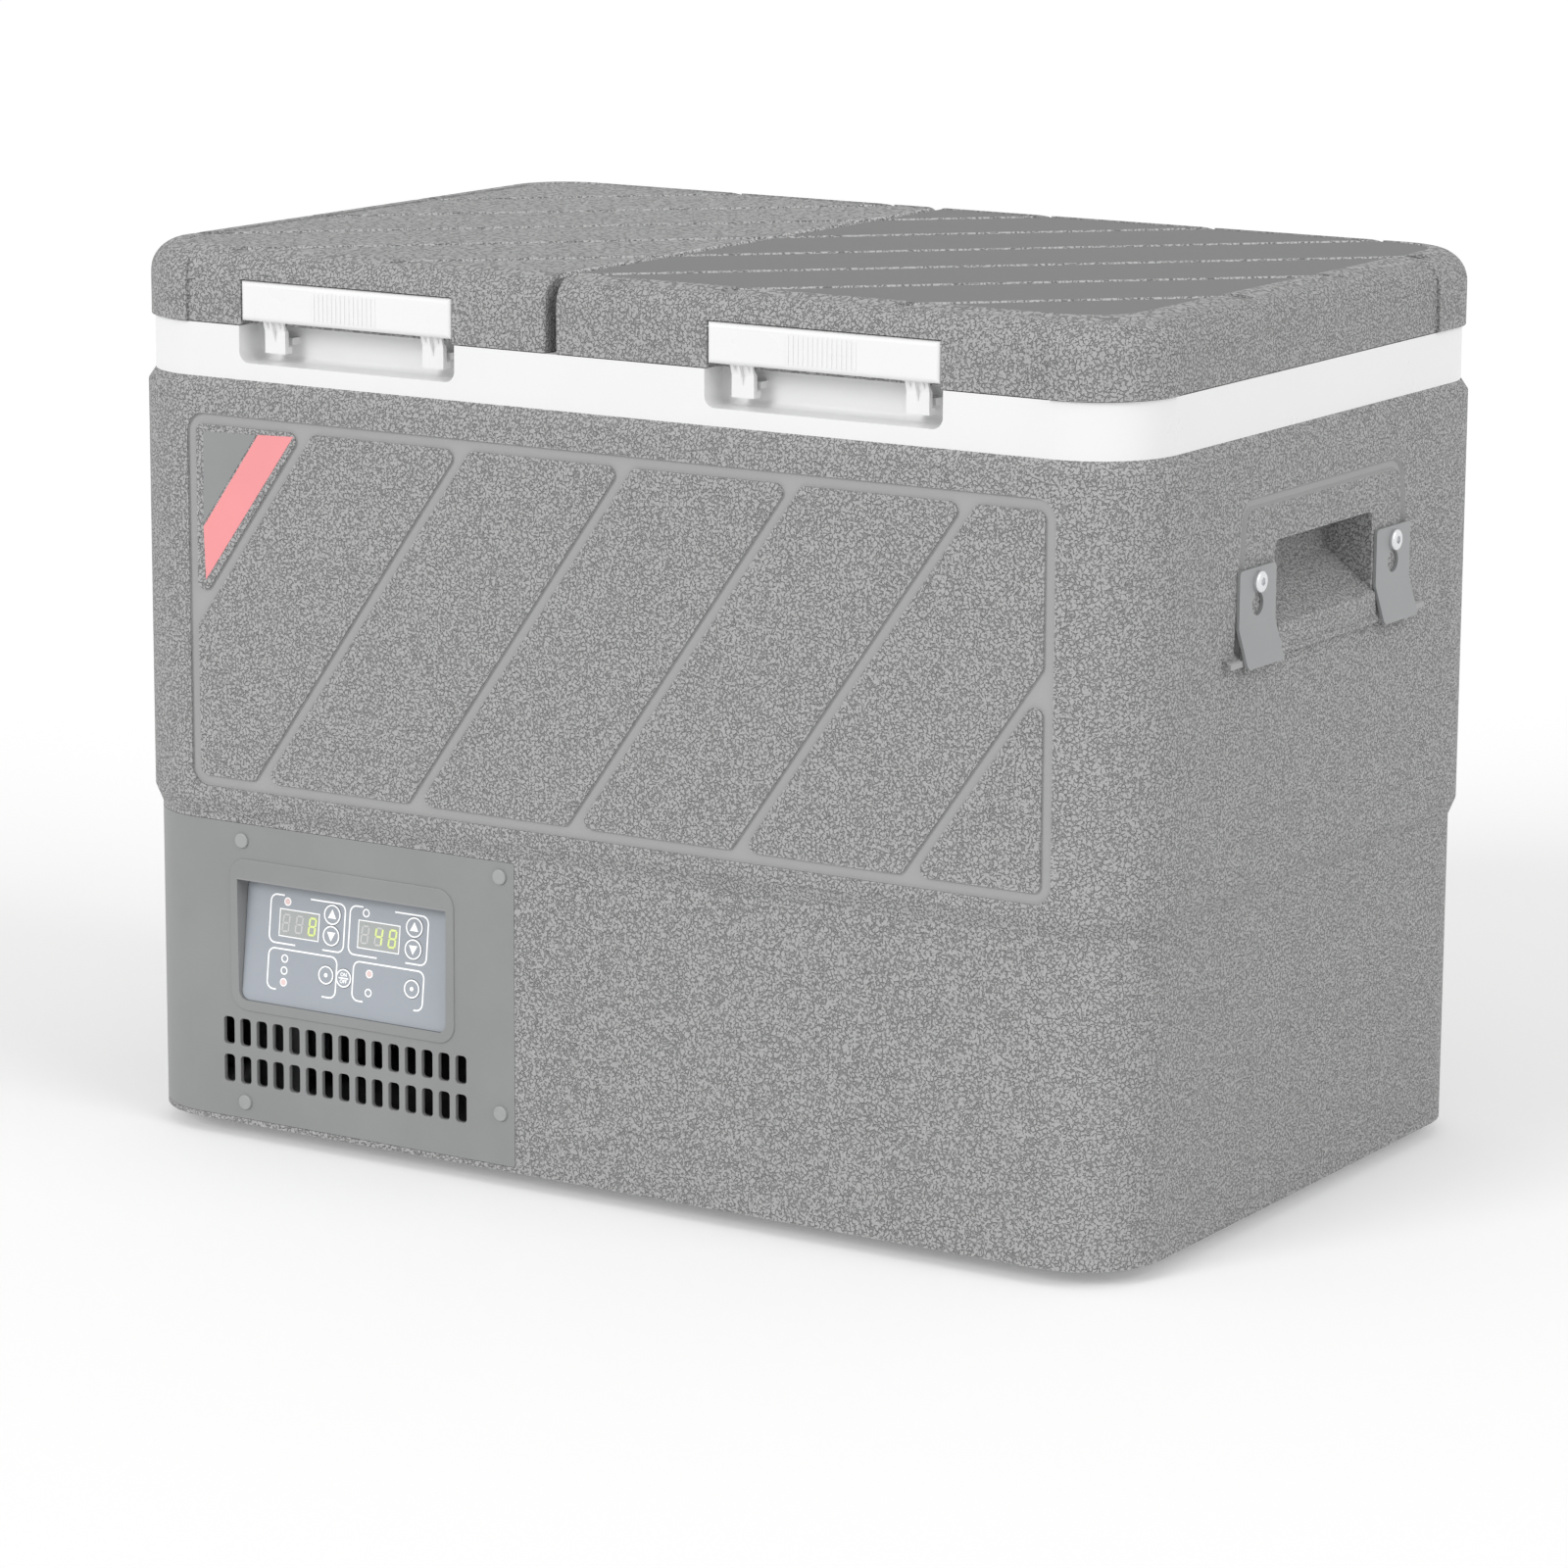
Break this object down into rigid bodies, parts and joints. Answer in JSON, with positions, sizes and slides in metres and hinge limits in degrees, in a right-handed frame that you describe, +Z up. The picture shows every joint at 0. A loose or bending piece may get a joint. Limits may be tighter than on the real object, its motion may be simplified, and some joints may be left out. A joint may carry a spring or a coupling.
{
  "type": "compressor cooler fridge",
  "caption": "Dual-zone portable compressor fridge: grained case, white collar, hinged lids with swing latches, side grips, front display and vents.",
  "frame": {"origin": "on the ground under the middle of the case, at the feet's lower faces", "axes": "+X along the long side to the user's right, -Y is the front with the display, +Z up"},
  "size_m": [0.7274, 0.464, 0.552],
  "materials": {
    "case_grey": "pebbled grain, matte",
    "lid_grey": "pebbled grain, matte",
    "cover_grey": "smooth satin",
    "collar_white": "smooth white moulding",
    "latch_white": "smooth white moulding",
    "liner_white": "smooth white moulding",
    "lid_liner_white": "smooth white moulding",
    "gasket_grey": "soft seal",
    "foam": "rigid polyurethane foam",
    "sheet_aluminium": "bare sheet",
    "basket_wire": "powder coat",
    "hinge_grey": "satin",
    "pin_steel": "bright",
    "screw_steel": "polished stainless",
    "plate_grey": "powder coat",
    "display": "printed display film",
    "button": "printed film key",
    "board": "circuit board",
    "base_steel": "black paint",
    "partition_steel": "galvanised sheet",
    "compressor_black": "black paint",
    "mount_rubber": "rubber",
    "fin_aluminium": "fins",
    "fan_black": "moulded",
    "copper": "copper pipe",
    "lamp_lens": "frosted lens",
    "inlet_black": "moulded",
    "foot_rubber": "rubber"
  },
  "bodies": {
    "case": {"base_plate": "base_steel", "bay_partition": "partition_steel", "bin_lamps": "lamp_lens", "collar_rim": "collar_white", "compressor": "compressor_black", "compressor_bolts": "pin_steel", "compressor_driver": "fin_aluminium", "compressor_mounts": "mount_rubber", "condenser": "fin_aluminium", "control_board": "board", "control_cover": "cover_grey", "copper_pipes": "copper", "cover_screws": "screw_steel", "display_panel": "display", "fan_frame": "fan_black", "feet": "foot_rubber", "filter_drier": "copper", "handle_screws": "screw_steel", "inlet_pins": "copper", "insulation_foam": "foam", "left_basket": "basket_wire", "left_bin_liner": "liner_white", "left_evaporator": "sheet_aluminium", "left_hinge_brackets": "hinge_grey", "left_hinge_pins": "pin_steel", "outer_shell": "case_grey", "power_inlet": "inlet_black", "right_basket": "basket_wire", "right_bin_liner": "liner_white", "right_evaporator": "sheet_aluminium", "right_hinge_brackets": "hinge_grey", "right_hinge_pins": "pin_steel"},
    "left_lid": {"left_lid_shell": "lid_grey", "left_lid_liner": "lid_liner_white", "left_lid_foam": "foam", "left_lid_gasket": "gasket_grey", "left_hinge_arms": "hinge_grey", "left_latch_pins": "pin_steel"},
    "left_latch_bar": {"left_latch": "latch_white"},
    "left_front_plate": {"left_front_keyhole_plate": "plate_grey"},
    "left_rear_plate": {"left_rear_keyhole_plate": "plate_grey"},
    "right_lid": {"right_lid_shell": "lid_grey", "right_lid_liner": "lid_liner_white", "right_lid_foam": "foam", "right_lid_gasket": "gasket_grey", "right_hinge_arms": "hinge_grey", "right_latch_pins": "pin_steel"},
    "right_latch_bar": {"right_latch": "latch_white"},
    "right_front_plate": {"right_front_keyhole_plate": "plate_grey"},
    "right_rear_plate": {"right_rear_keyhole_plate": "plate_grey"},
    "left_up_button_key": {"left_up_button": "button"},
    "left_down_button_key": {"left_down_button": "button"},
    "right_up_button_key": {"right_up_button": "button"},
    "right_down_button_key": {"right_down_button": "button"},
    "battery_set_button_key": {"battery_set_button": "button"},
    "power_button_key": {"power_button": "button"},
    "speed_set_button_key": {"speed_set_button": "button"},
    "fan": {"fan_rotor": "fan_black"}
  },
  "joints": [
    {"name": "left_lid_hinge", "type": "hinge", "parent": "case", "child": "left_lid", "pos_m": [-0.194, 0.226, 0.5], "axis": [-1, 0, 0], "range_deg": [0, 95]},
    {"name": "left_latch_swing", "type": "hinge", "parent": "left_lid", "child": "left_latch_bar", "pos_m": [-0.181, -0.22525, 0.5305], "axis": [-1, 0, 0], "range_deg": [0, 60]},
    {"name": "left_front_plate_slide", "type": "slide", "parent": "case", "child": "left_front_plate", "axis": [0, 0, 1], "range_m": [0, 0.0125]},
    {"name": "left_rear_plate_slide", "type": "slide", "parent": "case", "child": "left_rear_plate", "axis": [0, 0, 1], "range_m": [0, 0.0125]},
    {"name": "right_lid_hinge", "type": "hinge", "parent": "case", "child": "right_lid", "pos_m": [0.1595, 0.226, 0.5], "axis": [-1, 0, 0], "range_deg": [0, 95]},
    {"name": "right_latch_swing", "type": "hinge", "parent": "right_lid", "child": "right_latch_bar", "pos_m": [0.1515, -0.22525, 0.5305], "axis": [-1, 0, 0], "range_deg": [0, 60]},
    {"name": "right_front_plate_slide", "type": "slide", "parent": "case", "child": "right_front_plate", "axis": [0, 0, 1], "range_m": [0, 0.0125]},
    {"name": "right_rear_plate_slide", "type": "slide", "parent": "case", "child": "right_rear_plate", "axis": [0, 0, 1], "range_m": [0, 0.0125]},
    {"name": "left_up_button_press", "type": "slide", "parent": "case", "child": "left_up_button_key", "axis": [0, 0.993, -0.1177], "range_m": [0, 0.0005], "stiffness_N_per_m": 400},
    {"name": "left_down_button_press", "type": "slide", "parent": "case", "child": "left_down_button_key", "axis": [0, 0.993, -0.1177], "range_m": [0, 0.0005], "stiffness_N_per_m": 400},
    {"name": "right_up_button_press", "type": "slide", "parent": "case", "child": "right_up_button_key", "axis": [0, 0.993, -0.1177], "range_m": [0, 0.0005], "stiffness_N_per_m": 400},
    {"name": "right_down_button_press", "type": "slide", "parent": "case", "child": "right_down_button_key", "axis": [0, 0.993, -0.1177], "range_m": [0, 0.0005], "stiffness_N_per_m": 400},
    {"name": "battery_set_button_press", "type": "slide", "parent": "case", "child": "battery_set_button_key", "axis": [0, 0.993, -0.1177], "range_m": [0, 0.0005], "stiffness_N_per_m": 400},
    {"name": "power_button_press", "type": "slide", "parent": "case", "child": "power_button_key", "axis": [0, 0.993, -0.1177], "range_m": [0, 0.0005], "stiffness_N_per_m": 400},
    {"name": "speed_set_button_press", "type": "slide", "parent": "case", "child": "speed_set_button_key", "axis": [0, 0.993, -0.1177], "range_m": [0, 0.0005], "stiffness_N_per_m": 400},
    {"name": "fan_spin", "type": "hinge", "parent": "case", "child": "fan", "pos_m": [-0.316, -0.106, 0.0856], "axis": [1, 0, 0], "continuous": true}
  ]
}
